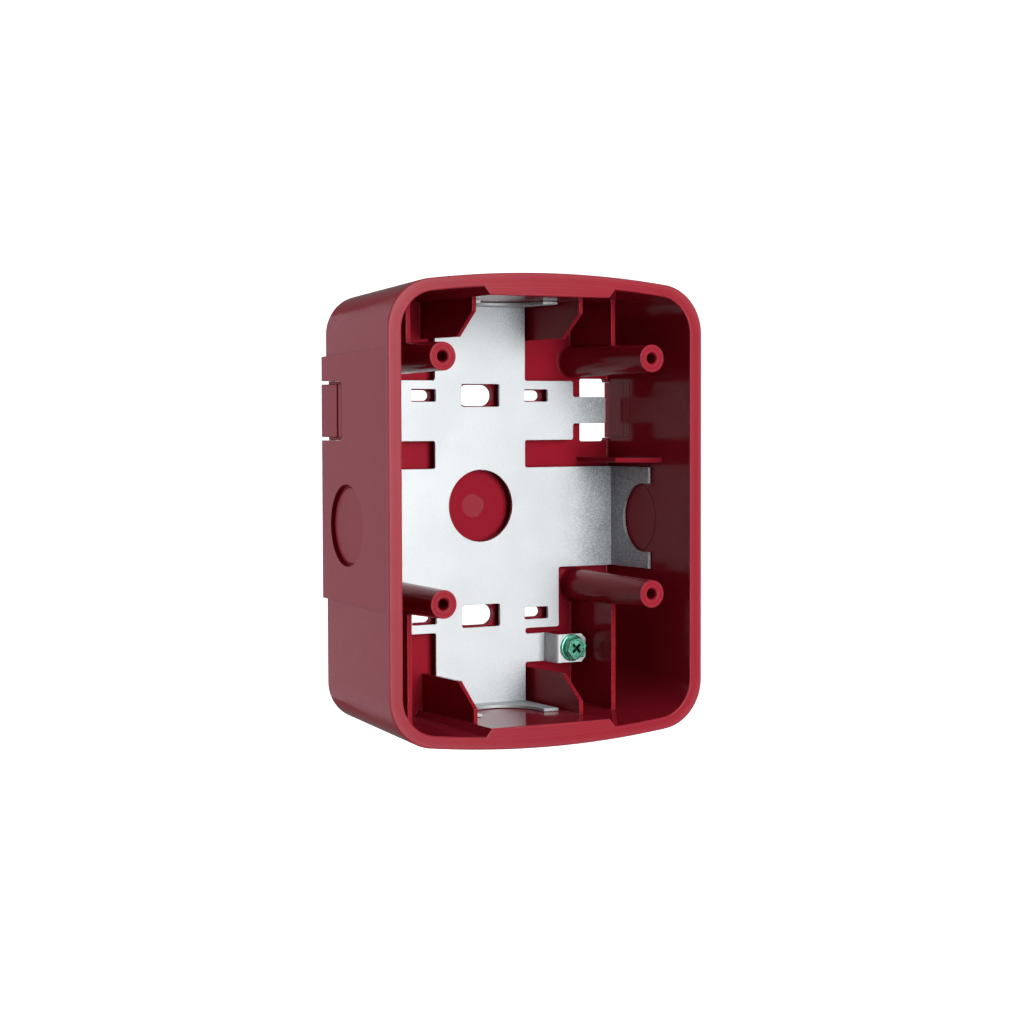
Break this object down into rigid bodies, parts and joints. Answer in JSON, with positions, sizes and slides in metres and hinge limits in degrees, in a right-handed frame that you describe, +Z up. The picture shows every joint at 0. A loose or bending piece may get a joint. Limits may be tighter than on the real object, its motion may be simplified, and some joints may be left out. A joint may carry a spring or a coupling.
{
  "type": "surface mount back box",
  "caption": "Open-fronted wall back box for a horn strobe, with screw posts, knockouts, raceway tabs, a sheet-metal backing plate and a ground screw.",
  "frame": {"origin": "centre of the back face, which lies on the wall plane", "axes": "+Z up, -Y out of the open front, +X to the right seen from the front"},
  "size_m": [0.1292, 0.06, 0.1694],
  "materials": {
    "red_plastic": "satin moulded plastic",
    "zinc_sheet": "zinc-coated sheet, fine spangle",
    "green_zinc": "green zinc plate, semi-gloss"
  },
  "bodies": {
    "box": {"housing": "red_plastic", "backing_plate": "zinc_sheet"},
    "ground_screw": {"ground_screw": "green_zinc"},
    "knockout_left": {"knockout_left": "red_plastic"},
    "knockout_right": {"knockout_right": "red_plastic"},
    "knockout_top": {"knockout_top": "red_plastic"},
    "knockout_bottom": {"knockout_bottom": "red_plastic"},
    "knockout_back": {"knockout_back": "red_plastic"},
    "raceway_tab_left": {"raceway_tab_left": "red_plastic"},
    "raceway_tab_right": {"raceway_tab_right": "red_plastic"},
    "raceway_strip_left": {"raceway_strip_left": "red_plastic"},
    "raceway_strip_right": {"raceway_strip_right": "red_plastic"}
  },
  "joints": [
    {"name": "ground_screw_turn", "type": "hinge", "parent": "box", "child": "ground_screw", "pos_m": [0.0342, -0.0168, -0.0547], "axis": [0, -1, 0], "range_deg": [0, 720]},
    {"name": "knockout_left_out", "type": "slide", "parent": "box", "child": "knockout_left", "axis": [-1, 0, 0], "range_m": [0, 0.012]},
    {"name": "knockout_right_out", "type": "slide", "parent": "box", "child": "knockout_right", "axis": [1, 0, 0], "range_m": [0, 0.012]},
    {"name": "knockout_top_out", "type": "slide", "parent": "box", "child": "knockout_top", "axis": [0, 0, 1], "range_m": [0, 0.012]},
    {"name": "knockout_bottom_out", "type": "slide", "parent": "box", "child": "knockout_bottom", "axis": [0, 0, -1], "range_m": [0, 0.012]},
    {"name": "knockout_back_out", "type": "slide", "parent": "box", "child": "knockout_back", "axis": [0, 1, 0], "range_m": [0, 0.012]},
    {"name": "raceway_tab_left_out", "type": "slide", "parent": "box", "child": "raceway_tab_left", "axis": [-1, 0, 0], "range_m": [0, 0.012]},
    {"name": "raceway_tab_right_out", "type": "slide", "parent": "box", "child": "raceway_tab_right", "axis": [1, 0, 0], "range_m": [0, 0.012]},
    {"name": "raceway_strip_left_out", "type": "slide", "parent": "box", "child": "raceway_strip_left", "axis": [-1, 0, 0], "range_m": [0, 0.012]},
    {"name": "raceway_strip_right_out", "type": "slide", "parent": "box", "child": "raceway_strip_right", "axis": [1, 0, 0], "range_m": [0, 0.012]}
  ]
}
